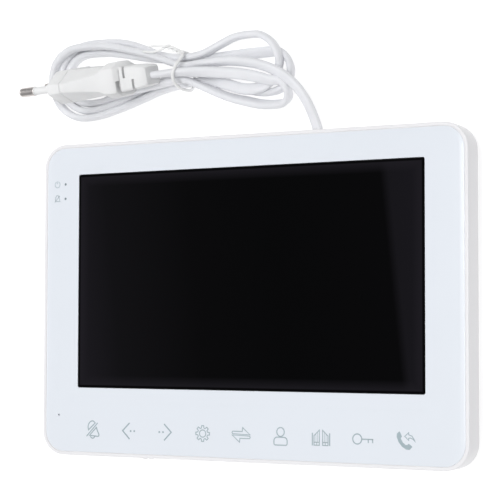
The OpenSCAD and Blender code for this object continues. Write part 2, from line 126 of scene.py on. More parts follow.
def loft(name, loops, closed=False, smooth_angle=35):
    """A skin over loops with the same number of points. Open lofts are capped."""
    count = len(loops[0])
    points = [p for loop in loops for p in loop]
    faces = []
    for i in range(len(loops) if closed else len(loops) - 1):
        j = (i + 1) % len(loops)
        for k in range(count):
            m = (k + 1) % count
            faces.append((i * count + k, i * count + m, j * count + m, j * count + k))
    if not closed:
        faces.append(tuple(reversed(range(count))))
        faces.append(tuple(range(len(points) - count, len(points))))
    return mesh_object(name, points, faces, smooth_angle)


def outline(width, height, radius, z, middle=(0, 0), steps=10):
    """Points round a level rectangle with round corners."""
    points = []
    for k, (sx, sy) in enumerate(((1, 1), (-1, 1), (-1, -1), (1, -1))):
        for i in range(steps + 1):
            a = math.radians(90 * (k + i / steps))
            points.append((middle[0] + sx * (width / 2 - radius) + radius * math.cos(a),
                           middle[1] + sy * (height / 2 - radius) + radius * math.sin(a), z))
    return points


def box(low, high):
    x0, y0, z0 = low
    x1, y1, z1 = high
    loops = [[(x0, y0, z), (x1, y0, z), (x1, y1, z), (x0, y1, z)] for z in (z0, z1)]
    return loft("box", loops)


def cylinder(x, y, radius, z0, z1, sides=32):
    turn = [2 * math.pi * k / sides for k in range(sides)]
    loops = [[(x + radius * math.cos(a), y + radius * math.sin(a), z) for a in turn]
             for z in (z0, z1)]
    return loft("cylinder", loops)


def smooth_route(points, step):
    """A centripetal Catmull-Rom curve through points whose first three values are a place."""
    rows = [Vector(p) for p in points]
    rows = [2 * rows[0] - rows[1], *rows, 2 * rows[-1] - rows[-2]]
    out = []
    for p0, p1, p2, p3 in zip(rows, rows[1:], rows[2:], rows[3:]):
        t1 = (Vector(p1[:3]) - Vector(p0[:3])).length ** 0.5
        t2 = t1 + (Vector(p2[:3]) - Vector(p1[:3])).length ** 0.5
        t3 = t2 + (Vector(p3[:3]) - Vector(p2[:3])).length ** 0.5
        count = max(1, round((Vector(p2[:3]) - Vector(p1[:3])).length / step))
        for i in range(count):
            t = t1 + (t2 - t1) * i / count
            a1 = p0.lerp(p1, t / t1)
            a2 = p1.lerp(p2, (t - t1) / (t2 - t1))
            a3 = p2.lerp(p3, (t - t2) / (t3 - t2))
            b1 = a1.lerp(a2, t / t2)
            b2 = a2.lerp(a3, (t - t1) / (t3 - t1))
            out.append(b1.lerp(b2, (t - t1) / (t2 - t1)))
    return [*out, rows[-2]]


def sweep(name, route, section, smooth_angle=60):
    """A section of (across, up) points carried along route rows of x, y, z and roll."""
    places = [Vector(row[:3]) for row in route]
    loops = []
    for i, place in enumerate(places):
        ahead = places[min(i + 1, len(places) - 1)] - places[max(i - 1, 0)]
        side = ahead.cross(Vector((0, 0, 1))).normalized()
        up = side.cross(ahead).normalized()
        roll = math.radians(route[i][3])
        across = math.cos(roll) * side + math.sin(roll) * up
        over = math.cos(roll) * up - math.sin(roll) * side
        loops.append([place + across * u + over * v for u, v in section])
    return loft(name, loops, smooth_angle=smooth_angle)


def circle_section(radius, sides=10):
    turn = [2 * math.pi * k / sides for k in range(sides)]
    return [(radius * math.cos(a), radius * math.sin(a)) for a in turn]


# ----------------------------------------------------------------- materials

def new_material(name, colour, roughness, metallic=0.0, specular=0.5, coat=0.0):
    material = bpy.data.materials.new(name)
    material.use_nodes = True
    shader = shader_of(material)
    shader.inputs["Base Color"].default_value = (*colour, 1)
    shader.inputs["Roughness"].default_value = roughness
    shader.inputs["Metallic"].default_value = metallic
    shader.inputs["Specular IOR Level"].default_value = specular
    shader.inputs["Coat Weight"].default_value = coat
    shader.inputs["Coat Roughness"].default_value = 0.05
    return material


def add(material, kind, **inputs):
    """A node with its inputs set by name, underscores for spaces."""
    node = material.node_tree.nodes.new(kind)
    for key, value in inputs.items():
        node.inputs[key.replace("_", " ")].default_value = value
    return node


def link(material, start, end):
    material.node_tree.links.new(start, end)


def shader_of(material):
    return material.node_tree.nodes["Principled BSDF"]


def paint(material, colour):
    link(material, colour, shader_of(material).inputs["Base Color"])


def place(material, stretch=(1, 1, 1)):
    """The object's own coordinates, stretched."""
    where = material.node_tree.nodes.new("ShaderNodeTexCoord")
    mapping = add(material, "ShaderNodeMapping")
    mapping.inputs["Scale"].default_value = stretch
    link(material, where.outputs["Object"], mapping.inputs["Vector"])
    return mapping.outputs["Vector"]


def noise(material, size, stretch=(1, 1, 1), detail=3.0):
    """Noise with features of a size in millimetres."""
    node = add(material, "ShaderNodeTexNoise", Scale=1 / (size * MM), Detail=detail)
    link(material, place(material, stretch), node.inputs["Vector"])
    return node.outputs["Fac"]


def stops(material, factor, rows):
    """A colour ramp through rows of (position, colour)."""
    ramp = material.node_tree.nodes.new("ShaderNodeValToRGB")
    while len(ramp.color_ramp.elements) < len(rows):
        ramp.color_ramp.elements.new(0.5)
    for element, (position, colour) in zip(ramp.color_ramp.elements, rows):
        element.position = position
        element.color = (*colour, 1)
    link(material, factor, ramp.inputs["Fac"])
    return ramp.outputs["Color"]


def mix_colours(material, factor, low, high, start=0.35, end=0.65):
    return stops(material, factor, [(start, low), (end, high)])


def vary_roughness(material, factor, low, high):
    spread = add(material, "ShaderNodeMapRange", To_Min=low, To_Max=high)
    link(material, factor, spread.inputs["Value"])
    link(material, spread.outputs["Result"], shader_of(material).inputs["Roughness"])


def raise_bumps(material, height, strength, distance):
    """Bumps of a distance in millimetres."""
    bump = add(material, "ShaderNodeBump", Strength=strength, Distance=distance * MM)
    link(material, height, bump.inputs["Height"])
    link(material, bump.outputs["Normal"], shader_of(material).inputs["Normal"])


def plain_finish(name, colour, roughness, tone=0.04, cloud=9.0, grain=0.35, depth=0.02,
                 metallic=0.0, specular=0.5, coat=0.0, stretch=(1, 1, 1), spread=0.06):
    """A surface with slow changes of tone and gloss, and a fine grain."""
    material = new_material(name, colour, roughness, metallic, specular, coat)
    slow = noise(material, cloud)
    low = [c * (1 - tone) for c in colour]
    high = [min(1, c * (1 + tone)) for c in colour]
    paint(material, mix_colours(material, slow, low, high))
    fine = noise(material, grain, stretch)
    vary_roughness(material, fine, roughness - spread, roughness + spread)
    raise_bumps(material, fine, 0.35, depth)
    return material


def maths(material, operation, first, second=0.0):
    """A sum on two values, each a number or another node's output."""
    node = material.node_tree.nodes.new("ShaderNodeMath")
    node.operation = operation
    for socket, value in zip(node.inputs, (first, second)):
        if isinstance(value, float):
            socket.default_value = value
        else:
            link(material, value, socket)
    return node.outputs[0]


def blend(material, factor, first, second):
    """The first colour where the factor is 0, and the second where it is 1."""
    mixed = add(material, "ShaderNodeMix")
    mixed.data_type = "RGBA"
    for name, value in (("Factor", factor), ("A", first), ("B", second)):
        if isinstance(value, tuple):
            mixed.inputs[name].default_value = (*value, 1)
        else:
            link(material, value, mixed.inputs[name])
    return mixed.outputs["Result"]


def span(material, value, low, high, start=0.0, end=1.0):
    """A value in metres turned into a factor between two lengths in millimetres."""
    node = add(material, "ShaderNodeMapRange", From_Min=low * MM, From_Max=high * MM, To_Min=start,
               To_Max=end)
    link(material, value, node.inputs["Value"])
    return node.outputs["Result"]


def display_finish():
    """Black lens: a printed border, a greyish margin inside it, and a dark field with a painted
    reflection at its left edge and in a leaning strip near its right edge.
    """
    slant = 0.11  # how far the painted reflection strip leans, in X per Y
    material = new_material("display", (0.001, 0.001, 0.0013), 0.07, specular=0.1)
    split = add(material, "ShaderNodeSeparateXYZ")
    link(material, place(material), split.inputs["Vector"])
    sides = []
    for axis, middle, half in (("X", 0.0, WINDOW_W / 2), ("Y", WINDOW_Y, WINDOW_H / 2)):
        away = maths(material, "SUBTRACT", split.outputs[axis], middle * MM)
        sides.append(maths(material, "SUBTRACT", half * MM, maths(material, "ABSOLUTE", away)))
    nearest = maths(material, "MINIMUM", sides[0], sides[1])
    height = maths(material, "SUBTRACT", split.outputs["Y"], WINDOW_Y * MM)
    leaning = maths(material, "ADD", split.outputs["X"], maths(material, "MULTIPLY", height, slant))
    across = span(material, leaning, -WINDOW_W / 2, WINDOW_W / 2)
    # Painted reflection: the dark field is made lighter at the left edge and in a leaning strip
    # near the right edge.
    screen_with_painted_reflection = stops(material, across, [
        (0.0, (0.0085, 0.0076, 0.0102)), (0.11, (0.0042, 0.0039, 0.0049)),
        (0.36, (0.0014, 0.0013, 0.0016)), (0.6, (0.0008, 0.0008, 0.001)),
        (0.912, (0.0011, 0.001, 0.0013)), (0.934, (0.0068, 0.0062, 0.0082)),
        (1.0, (0.0074, 0.0067, 0.0092))])
    inside = span(material, nearest, 1.2, 5, 0.7, 0)
    margin = blend(material, inside, screen_with_painted_reflection, (0.0125, 0.0112, 0.0148))
    border = span(material, nearest, 0.75, 1.15)
    paint(material, blend(material, border, (0.0009, 0.0008, 0.0011), margin))
    vary_roughness(material, noise(material, 6.0), 0.05, 0.09)
    return material


def board_finish(name, mask, track):
    """Solder mask over thin tracks, with plated points."""
    material = new_material(name, mask, 0.35)
    bricks = add(material, "ShaderNodeTexBrick", Scale=1.0, Mortar_Size=0.0002, Brick_Width=0.0061,
                 Row_Height=0.0013, Color1=(*mask, 1), Color2=(*[c * 0.8 for c in mask], 1),
                 Mortar=(*track, 1))
    link(material, place(material), bricks.inputs["Vector"])
    dots = add(material, "ShaderNodeTexVoronoi", Scale=1 / (3.3 * MM))
    link(material, place(material), dots.inputs["Vector"])
    plated = mix_colours(material, dots.outputs["Distance"], (1, 1, 1), (0, 0, 0), 0.1, 0.14)
    paint(material, blend(material, plated, bricks.outputs["Color"], (0.75, 0.6, 0.35)))
    raise_bumps(material, bricks.outputs["Fac"], 0.4, 0.04)
    vary_roughness(material, noise(material, 0.6), 0.3, 0.45)
    return material


def brushed_finish(name, colour, roughness, stretch):
    """Rolled metal: long fine streaks along one axis."""
    material = new_material(name, colour, roughness, metallic=1.0)
    streak = noise(material, 1.0, stretch, 5.0)
    low = [c * 0.86 for c in colour]
    paint(material, mix_colours(material, streak, low, colour))
    vary_roughness(material, streak, roughness - 0.07, roughness + 0.1)
    raise_bumps(material, streak, 0.25, 0.02)
    return material


PLAIN = {
    "housing": dict(colour=(0.835, 0.826, 0.84), roughness=0.34, tone=0.008, cloud=30, depth=0.006),
    "front_plate": dict(colour=(0.775, 0.81, 0.862), roughness=0.22, tone=0.006, cloud=40,
                        grain=1.5, depth=0.002, coat=0.15, spread=0.03),
    "light_pipe": dict(colour=(0.23, 0.28, 0.3), roughness=0.2, tone=0.2, cloud=0.5, grain=0.3,
                       depth=0.002, spread=0.04),
    "black_foam": dict(colour=(0.03, 0.03, 0.03), roughness=0.9, tone=0.3, cloud=0.6, depth=0.15),
    "black_rubber": dict(colour=(0.02, 0.02, 0.02), roughness=0.75, tone=0.2, depth=0.03),
    "lcd_glass": dict(colour=(0.04, 0.04, 0.05), roughness=0.08, tone=0.1, cloud=20, depth=0.001,
                      spread=0.02),
    "light_guide": dict(colour=(0.9, 0.9, 0.88), roughness=0.5, tone=0.02, grain=0.8),
    "key_copper": dict(colour=(0.8, 0.6, 0.3), roughness=0.28, tone=0.08, metallic=1.0),
    "ribbon_film": dict(colour=(0.75, 0.45, 0.12), roughness=0.3, tone=0.08, stretch=(6, 0.1, 1)),
    "wire_cover": dict(colour=(0.55, 0.03, 0.02), roughness=0.4, tone=0.1, depth=0.01),
    "dark_plastic": dict(colour=(0.035, 0.035, 0.04), roughness=0.5, tone=0.25, cloud=5,
                         depth=0.02),
    "coil_tape": dict(colour=(0.75, 0.6, 0.12), roughness=0.35, tone=0.1, stretch=(0.1, 4, 4)),
    "socket_plastic": dict(colour=(0.82, 0.79, 0.7), roughness=0.42, tone=0.03),
    "lead_vinyl": dict(colour=(0.79, 0.795, 0.82), roughness=0.42, tone=0.015, cloud=6, grain=0.5,
                       depth=0.008, specular=0.4),
    "pin_nickel": dict(colour=(0.66, 0.62, 0.6), roughness=0.36, tone=0.02, grain=2, depth=0.0001,
                       metallic=1.0, spread=0.02),
    "print": dict(colour=(0.34, 0.42, 0.455), roughness=0.5, tone=0.03, grain=0.3, depth=0.003),
    "pale_print": dict(colour=(0.5, 0.57, 0.61), roughness=0.5, tone=0.03, grain=0.3, depth=0.003),
    "plug_vinyl": dict(colour=(0.83, 0.83, 0.83), roughness=0.5, tone=0.012, cloud=7, grain=0.25,
                       depth=0.015, specular=0.35),
    "tie_vinyl": dict(colour=(0.86, 0.86, 0.855), roughness=0.3, tone=0.02, cloud=2, depth=0.01),
}
FINISHES = {name: plain_finish(name, **look) for name, look in PLAIN.items()}
FINISHES["display"] = display_finish()
for name, colour, roughness, stretch in (
        ("thin_steel", (0.6, 0.61, 0.62), 0.32, (0.05, 3, 3)),
        ("small_metal", (0.62, 0.62, 0.63), 0.3, (2, 2, 2)),
        ("bracket_steel", (0.66, 0.67, 0.68), 0.36, (0.06, 2, 2))):
    FINISHES[name] = brushed_finish(name, colour, roughness, stretch)
for name, mask, track in (("circuit_board", (0.012, 0.12, 0.045), (0.03, 0.23, 0.09)),
                          ("power_laminate", (0.42, 0.26, 0.11), (0.55, 0.37, 0.18))):
    FINISHES[name] = board_finish(name, mask, track)


def finished(obj, slot, nodes=(), finish=None, body="monitor"):
    """Gives a new piece its material, picked by its finish or else its slot, puts it under its
    body, and hides the CAD nodes that it stands for.
    """
    obj.data.materials.clear()
    obj.data.materials.append(FINISHES[finish or slot])
    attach(obj, body)
    if nodes:
        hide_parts(*nodes)
    return obj


# -------------------------------------------------------------------- camera

CAMERA_AT = Vector((306.93, -13.81, 590.85))
CAMERA_BACK = Vector((0.46861, -0.05022, 0.88198))
CAMERA_UP = Vector((0.02192, 0.99874, 0.04521))
CAMERA_LENS = 117.88


def add_camera():
    """A long lens, high to the right of the object and turned down towards it."""
    back = CAMERA_BACK.normalized()
    right = CAMERA_UP.cross(back).normalized()
    axes = Matrix((right, back.cross(right), back)).transposed()
    data = bpy.data.cameras.new("camera")
    data.lens = CAMERA_LENS
    data.sensor_width = 36
    data.clip_start = 0.01
    data.clip_end = 20
    camera = bpy.data.objects.new("camera", data)
    camera.matrix_world = Matrix.Translation(CAMERA_AT * MM) @ axes.to_4x4()
    scene.collection.objects.link(camera)
    scene.camera = camera


add_camera()


# ---------------------------------------------------------------- mains lead

LEAD_W, LEAD_T = 4.8, 3.0
EXIT = (27, 56, 4.6)
TIE_X = -33


def half_turn(side, end, start, finish, heights, rolls=(90,) * 5):
    """Rows round one end of the hank, between two (x, y) places; side is 1 at the right."""
    (x0, y0), (x1, y1) = start, finish
    middle, half = (y0 + y1) / 2, abs(y1 - y0) / 2
    centre = end - side * min(half, abs(end - (x0 + x1) / 2))
    rows = []
    for i, (z, roll) in enumerate(zip(heights, rolls)):
        a = math.pi * (i + 0.5) / len(rolls)
        rows.append((centre + abs(end - centre) * side * math.sin(a),
                     middle + (y0 - middle) * math.cos(a), z, roll))
    return rows


def on_edge(*places):
    """Rows where the lead stands on its narrow edge."""
    return [(*p, 90) for p in places]


def lead_rows():
    """The lead's route, listed: x, y, z and how far it is rolled from lying flat."""
    rows = [(27, 54, 4.6, 0), (*EXIT, 0), (27, 60, 4.6, 8), (26.5, 65, 4.7, 20),
            (24.9, 70.5, 4.9, 28), (22.3, 77, 5.6, 32), (18.6, 83.4, 7, 36), (14.2, 88.2, 8.6, 40),
            (9.6, 91.2, 9.4, 45), (2.2, 94.2, 10.4, 52), (-8.8, 96.3, 10.8, 60),
            (-20.8, 96.5, 10.6, 75)]
    rows += on_edge((TIE_X, 96.4, 10.2), (-46, 100.8, 9.8), (-52.5, 103, 9.3), (-60, 105, 8.8),
                    (-69, 107.2, 8.4), (-79, 108.4, 7.4))
    rows += half_turn(-1, -101.7, (-79, 108.4), (-82, 78.6), (7.2, 6.4, 4.4, 2.9, 2.6))
    rows += on_edge((-82, 78.6, 2.6), (-70, 81, 2.6), (-58, 84.4, 2.9), (-46.6, 87.7, 3.8),
                    (TIE_X, 89.8, 4.4))
    rows += [(-26, 90.2, 5.4, 60), (-15.4, 88, 6.2, 10), (-6, 85.2, 6.4, 0)]
    rows += half_turn(1, 9.2, (-6, 85.2), (-2, 107.4), (6, 4.8, 5.4, 7.4, 7), (10, 50, 90, 90, 90))
    rows += on_edge((-2, 107.4, 6.6), (-10.9, 106.9, 6.2), (-18, 103.9, 7), (-25.1, 100.6, 8.6),
                    (TIE_X, 99.7, 9.6), (-45, 102, 7))
    rows += [(-53.1, 105, 5, 78), (-62.9, 108.2, 3.4, 60), (-72, 109.7, 2.6, 56)]
    rows += half_turn(-1, -98.5, (-72, 109.7), (-81, 81.6), (2.6,) * 5, (60, 76, 90, 90, 90))
    rows += on_edge((-81, 81.6, 2.6), (-70, 83.8, 2.6), (-60, 86.9, 2.6), (-48, 91.2, 3.4),
                    (TIE_X, 94.4, 4.4), (-22, 91.8, 3.2), (-12, 87.6, 2.6), (-2, 84, 2.6))
    rows += half_turn(1, 13, (-2, 84), (2, 100.4), (2.6, 2.6, 2.6, 2.6, 2.5), (90, 90, 85, 70, 50))
    rows += [(2, 100.4, 2.5, 40), (-8, 100.1, 2.9, 30), (-20, 99.6, 3.7, 50)]
    rows += on_edge((TIE_X, 99.2, 4.5), (-52.3, 101.5, 3.4), (-63.5, 103.8, 2.8), (-76, 105.8, 2.6))
    rows += half_turn(-1, -95.3, (-76, 105.8), (-78, 84.9), (2.6,) * 5)
    rows += on_edge((-78, 84.9, 2.6), (-70, 86.4, 4.6), (-58, 87.8, 7.6), (-46, 89.2, 9),
                    (TIE_X, 90.4, 9.4))
    rows += [(-24, 87, 9.6, 80), (-14, 82.6, 5.2, 60), (-6, 80.4, 3.6, 45), (1, 78.9, 2.6, 45)]
    rows += half_turn(1, 12.8, (1, 78.9), (7, 87.6), (2.6, 3.2, 4.8, 6.6, 8), (60, 85, 90, 80, 60))
    rows += [(7, 87.6, 8.6, 50), (1.4, 89.2, 10, 25), (-5, 90.6, 11, 15), (-14, 91.8, 12, 20),
             (-24, 92.6, 13.2, 45), (TIE_X, 92.9, 14.6, 75), (-38.5, 92.5, 16.6, 95),
             (-43.6, 92.1, 17.8, 104)]
    return rows


def flat_section():
    """A flat oval: two round ends, and sides that bulge a little."""
    radius = LEAD_T / 2
    offset = (LEAD_W - LEAD_T) / 2
    end_height = 0.96 * radius
    steps = 8
    points = []
    for side in (1, -1):
        for i in range(steps + 1):
            a = math.radians(-90 + 180 * i / steps)
            points.append((side * (offset + radius * math.cos(a)), side * end_height * math.sin(a)))
        points.append((0, side * radius))
    return points


lead_route = smooth_route(lead_rows(), 1.8)
lead = sweep("flat_lead", lead_route, flat_section())
finished(lead, "lead_vinyl", ["mains_lead", "lead_hank"])


# ---------------------------------------------------------- plug, tie, relief

PLUG_NOSE = Vector((-84, 90.4, 17.9))
PLUG_TURN = Matrix.Rotation(math.radians(2.4), 4, "Z") @ Matrix.Rotation(math.radians(14), 4, "X")
PLUG_L, PLUG_WIDE, PLUG_THICK = 41.0, 35.3, 13.7
PIN_HALF_PITCH, PIN_R, PIN_L = 9.3, 2.0, 19.0
SLEEVE_R, SLEEVE_L, COLLAR_R = 1.7, 11.5, 1.92


def onto_plug(obj):
    """Moves a piece drawn from the pin face at zero to where the plug lies."""
    obj.data.transform(Matrix.Translation(PLUG_NOSE * MM) @ PLUG_TURN)
    return obj


def plug_slice(x, wide, thick, flat):
    """A six-sided slice with small flats at the ends of its long side."""
    w, t = wide / 2, thick / 2
    return [(x, flat, w), (x, t, w / 2), (x, t, -w / 2), (x, flat, -w),
            (x, -flat, -w), (x, -t, -w / 2), (x, -t, w / 2), (x, -flat, w)]


def plug_shell():
    """A six-sided nose, a body that narrows, and a slotted relief round a core."""
    nose = loft("nose", [plug_slice(x, PLUG_WIDE, PLUG_THICK, 2) for x in (0, 6)])
    round_edges(nose, 0.5)
    wide, thick = PLUG_WIDE - 0.9, PLUG_THICK - 0.7
    body = loft("body", [plug_slice(*row) for row in (
        (5.6, wide, thick, 1.8), (7, wide, thick, 1.8), (14, 28.5, 12.6, 2.6),
        (20.5, 22.4, 11.6, 3.8), (23.6, 21.4, 14.8, 5.2), (27.6, 18.8, 14.6, 5.2),
        (29.2, 15.4, 10.6, 4.4))], smooth_angle=22)
    round_edges(body, 0.45, angle=22)
    relief = loft("relief", [rounded_slice(*row) for row in (
        (28.4, 5.3, 6.9, 1.2), (36, 4.8, 6.4, 1.2), (PLUG_L - 0.7, 4.2, 5.9, 1.2),
        (PLUG_L, 3.6, 5.3, 1.0))], smooth_angle=30)
    core = loft("core", [rounded_slice(x, 2.6, 4.4, 0.8) for x in (26, PLUG_L - 1)])
    below, above = (-9, -0.4), (0.4, 9)
    cut(body, [slot_box(28, below, 11)], 22)
    cut(relief, [slot_box(x, reach, 8)
                 for x, reach in ((28, below), (30.6, above), (34.4, below))], 30)
    return onto_plug(join("plug_shell", [nose, body, relief, core]))


def slot_box(x, reach, half_width, slot=1.1):
    """The cutter of one slot across the plug, between two heights."""
    return box((x, reach[0], -half_width), (x + slot, reach[1], half_width))


def rounded_slice(x, half_y, half_z, radius):
    """A rectangle with round corners, square to the plug's axis."""
    return [(x, y, z) for y, z, _ in outline(2 * half_y, 2 * half_z, radius, 0, steps=4)]


def turned(name, rows, middle, steps=28):
    """A shape turned about an axis along -X: rows are (length along it, radius)."""
    turn = [2 * math.pi * k / steps for k in range(steps)]
    loops = [[(-x, radius * math.cos(a), middle + radius * math.sin(a)) for a in turn]
             for x, radius in rows]
    return loft(name, loops)


def pin_rows():
    """The bare end of a pin: a core inside the sleeve, then the tip with its rounded end."""
    core_r, end_l, end_r = 1.2, 1.4, 1.3
    rows = [(SLEEVE_L - 2, core_r), (SLEEVE_L, core_r), (SLEEVE_L, PIN_R - 0.1),
            (SLEEVE_L + 0.15, PIN_R), (SLEEVE_L + 0.3, PIN_R), (PIN_L - end_l - 0.15, PIN_R)]
    for i in range(6):
        a = math.radians(18 * i)
        rows.append((PIN_L - end_l + end_l * math.sin(a), PIN_R - end_r * (1 - math.cos(a))))
    return rows


def sleeve_rows():
    """The insulated part of a pin, with a thicker collar where it ends."""
    return [(-0.5, SLEEVE_R), (SLEEVE_L - 0.6, SLEEVE_R), (SLEEVE_L - 0.4, COLLAR_R),
            (SLEEVE_L - 0.05, COLLAR_R), (SLEEVE_L, COLLAR_R - 0.12)]


def twist_tie():
    """A plastic-covered wire round the waist, its ends twisted together on top."""
    loop = [(-30.9, 100, 14), (-31.7, 97.8, 15.5), (-32.8, 94.9, 17.2), (-33.6, 91.4, 17.8),
            (-34, 88.6, 15.4), (-33.9, 86.9, 11.2), (-33.4, 86.5, 7), (-33.1, 87, 3),
            (-33, 90, 1), (-33, 95, 0.95), (-33, 99.6, 1.1), (-33.2, 101.7, 4), (-33.3, 102.1, 8),
            (-32.9, 102, 11.4), (-31.8, 101.4, 13.4), (-31, 100.4, 14.1)]
    wires = [tube("loop", loop, 0.66)]
    start, bend, finish = (Vector(p) for p in ((-30.8, 100.1, 14), (-34, 102.6, 15.6),
                                               (-38, 103.9, 15.3)))
    steps, twists, twist_r = 28, 1.75, 0.58
    ends = ((0, [(-41, 102.9, 14.6), (-45.6, 102.4, 13.6), (-51, 103.2, 12.2)]),
            (math.pi, [(-41.7, 104.4, 14.8), (-44.6, 104.9, 13.9), (-47.6, 105, 13)]))
    for phase, end in ends:
        points = []
        for i in range(steps + 1):
            t = i / steps
            along = start.lerp(bend, t).lerp(bend.lerp(finish, t), t)
            a = phase + 2 * math.pi * twists * t
            points.append(along + Vector((0.4 * math.cos(a), math.cos(a), math.sin(a))) * twist_r)
        wires.append(tube("end", [*points, *end], 0.52))
    return join("wire_tie", wires)


def tube(name, points, radius, sides=10):
    route = smooth_route([(*p, 0) for p in points], 0.7)
    return sweep(name, route, circle_section(radius, sides))


def strain_relief():
    """A tapered sleeve with grooves, and a collar in the housing's channel."""
    start_y, sides, widen, groove = 34, 32, 1.12, 0.5
    rows = [(0, 3.3), (1.8, 3.3), (2, 3.1)]
    for i in range(7):
        y = 3.2 + i * 2.4
        r = 3.05 - 0.065 * i
        rows += [(y, r), (y + 0.25, r - groove), (y + 0.95, r - groove), (y + 1.2, r)]
    rows += [(21.4, 2.62), (22, 2.45)]
    turn = [2 * math.pi * k / sides for k in range(sides)]
    loops = [[(EXIT[0] + widen * r * math.cos(a), start_y + y, EXIT[2] + r * math.sin(a))
              for a in turn] for y, r in rows]
    return loft("lead_relief", loops)


plug = finished(plug_shell(), "lead_vinyl", ["plug_body"], "plug_vinyl")
plug_collars = finished(onto_plug(join("pin_collars", [
    turned("collar", sleeve_rows(), s * PIN_HALF_PITCH) for s in (-1, 1)])),
    "lead_vinyl", ["plug_sleeves"], "plug_vinyl")
plug_pins = finished(onto_plug(join("pin_tips", [
    turned("tip", pin_rows(), s * PIN_HALF_PITCH) for s in (-1, 1)])),
    "pin_nickel", ["plug_tips"])
tie = finished(twist_tie(), "lead_vinyl", ["twist_tie"], "tie_vinyl")
finished(strain_relief(), "lead_vinyl", ["lead_sleeve"])


# ------------------------------------------------------------------- housing

def inset_outline(inset, z):
    """The housing's outline, drawn in from the sides, at a height."""
    return outline(BODY_W - 2 * inset, BODY_H - 2 * inset, max(CORNER_R - inset, 2.5), z)


def arc(x, z, radius, start, end, steps=5):
    """Points of (inset, z) on an arc about a middle, angles in degrees."""
    turn = [math.radians(start + (end - start) * i / steps) for i in range(steps + 1)]
    return [(x + radius * math.cos(a), z + radius * math.sin(a)) for a in turn]


def front_frame():
    """The rim round the front plate, the side band and the ledge that the plate sits on."""
    outer, inner, wall, ledge = 0.42, 0.22, 2.2, 7
    profile = [(0.12, PARTING_Z), (0, PARTING_Z + 0.15)]
    profile += arc(outer, FRONT_Z - outer, outer, 180, 90)
    profile += arc(RIM_W - inner, FRONT_Z - inner, inner, 90, 0, 3)
    groove = RIM_W + GROOVE_W - 0.02
    profile += [(RIM_W, FRONT_Z - 0.3), (groove, FRONT_Z - 0.32), (groove, SEAT_Z),
                (ledge, SEAT_Z), (ledge, LEDGE_Z), (wall, LEDGE_Z), (wall, PARTING_Z)]
    shell = loft("shell", [inset_outline(*p) for p in profile], closed=True)
    bottom = -BODY_H / 2
    low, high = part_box("switch_knob")
    middle = (low.x + high.x) / 2 / MM + KNOB_TRAVEL / 2
    slot = box((middle - 5.5, bottom - 2, 11.3), (middle + 5.5, bottom + 4, 14.7))
    low, high = (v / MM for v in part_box("key_board"))
    notch = box((low.x - 0.5, low.y - 0.6, LEDGE_Z - 1), (high.x + 0.5, high.y + 1, SEAT_Z + 0.1))
    cut(shell, [slot, notch, cylinder(*MIC, 3.4, LEDGE_Z - 1, SEAT_Z + 1)])
    nib = loft("nib", [outline(1.4, 0.5, 0.15, z, (NIB_X, bottom + RIM_W + 0.15), 2)
                       for z in (SEAT_Z, FRONT_Z - 0.35, FRONT_Z - 0.25)])
    posts = [cylinder(sx * SCREW_X, sy * SCREW_Y, 3, PARTING_Z, SEAT_Z - 0.01)
             for sx in (-1, 1) for sy in (-1, 1)]
    return join("frame_shell", [shell, nib, *posts])


def front_plate():
    """The glossy plate: a shallow slope round its edge, and an opening for the lens."""
    inset = RIM_W + GROOVE_W
    gap = 0.2

    def hole(grow, z):
        return outline(WINDOW_W + 2 * gap + grow, WINDOW_H + 2 * gap + grow, 0.8 + grow / 2, z,
                       (0, WINDOW_Y))

    loops = [inset_outline(inset + across, FRONT_Z - down)
             for across, down in ((0, FRONT_Z - PANEL_Z), (0, 0.26), (0.06, 0.17), (0.25, 0.12),
                                  (1.7, 0.01), (1.95, 0))]
    loops += [hole(grow, FRONT_Z - down)
              for grow, down in ((0.3, 0), (0.08, 0.04), (0, 0.18), (0, FRONT_Z - PANEL_Z))]
    plate = loft("face_plate", loops, closed=True)
    cut(plate, [cylinder(*spot, PANEL_Z - 1, FRONT_Z + 1)
                for spot in ((*MIC, MIC_HOLE_R), (LIGHT_X, POWER_Y, LIGHT_HOLE_R),
                             (LIGHT_X, MUTE_Y, LIGHT_HOLE_R))], 3)
    return plate


def display_lens():
    """The dark lens, with a softened edge just under the plate's face."""
    top = FRONT_Z - 0.05
    loops = [outline(WINDOW_W - 2 * inset, WINDOW_H - 2 * inset, max(0.6 - inset, 0.2), z,
                     (0, WINDOW_Y), 5)
             for inset, z in ((0, PANEL_Z), (0, top - 0.2), (0.06, top - 0.06), (0.2, top))]
    return loft("display_lens", loops, smooth_angle=20)


finished(front_frame(), "housing", ["front_frame"])
finished(front_plate(), "front_plate", ["front_panel"])
finished(display_lens(), "display", ["display_window"])


# --------------------------------------------------------------- printed marks

INK_Z, INK_T = FRONT_Z - 0.01, 0.035


def strip(points, width, closed=False):
    """A flat line of ink through (x, y) points, mitred at its corners."""
    rows = [Vector(p) for p in points]
    count = len(rows)
    left, right = [], []
    for i, p in enumerate(rows):
        before = rows[i - 1] if closed or i else None
        after = rows[(i + 1) % count] if closed or i < count - 1 else None
        d0 = (p - before).normalized() if before is not None else (after - p).normalized()
        d1 = (after - p).normalized() if after is not None else d0
        n0, n1 = Vector((-d0.y, d0.x)), Vector((-d1.y, d1.x))
        mitre = (n0 + n1).normalized() if (n0 + n1).length > 0.2 else n0
        reach = width / 2 / max(mitre.dot(n0), 0.45)
        left.append(p + mitre * reach)
        right.append(p - mitre * reach)
    points3, faces = [], []
    for z in (INK_Z, INK_Z + INK_T):
        points3 += [(p.x, p.y, z) for p in left] + [(p.x, p.y, z) for p in right]
    low, top = 0, 2 * count
    for i in range(count if closed else count - 1):
        j = (i + 1) % count
        faces.append((top + i, top + count + i, top + count + j, top + j))
        faces.append((low + i, low + j, low + count + j, low + count + i))
        faces.append((low + i, top + i, top + j, low + j))
        faces.append((low + count + j, top + count + j, top + count + i, low + count + i))
    if not closed:
        for i in (0, count - 1):
            quad = (low + i, low + count + i, top + count + i, top + i)
            faces.append(quad if i == 0 else tuple(reversed(quad)))
    return mesh_object("ink", points3, faces)


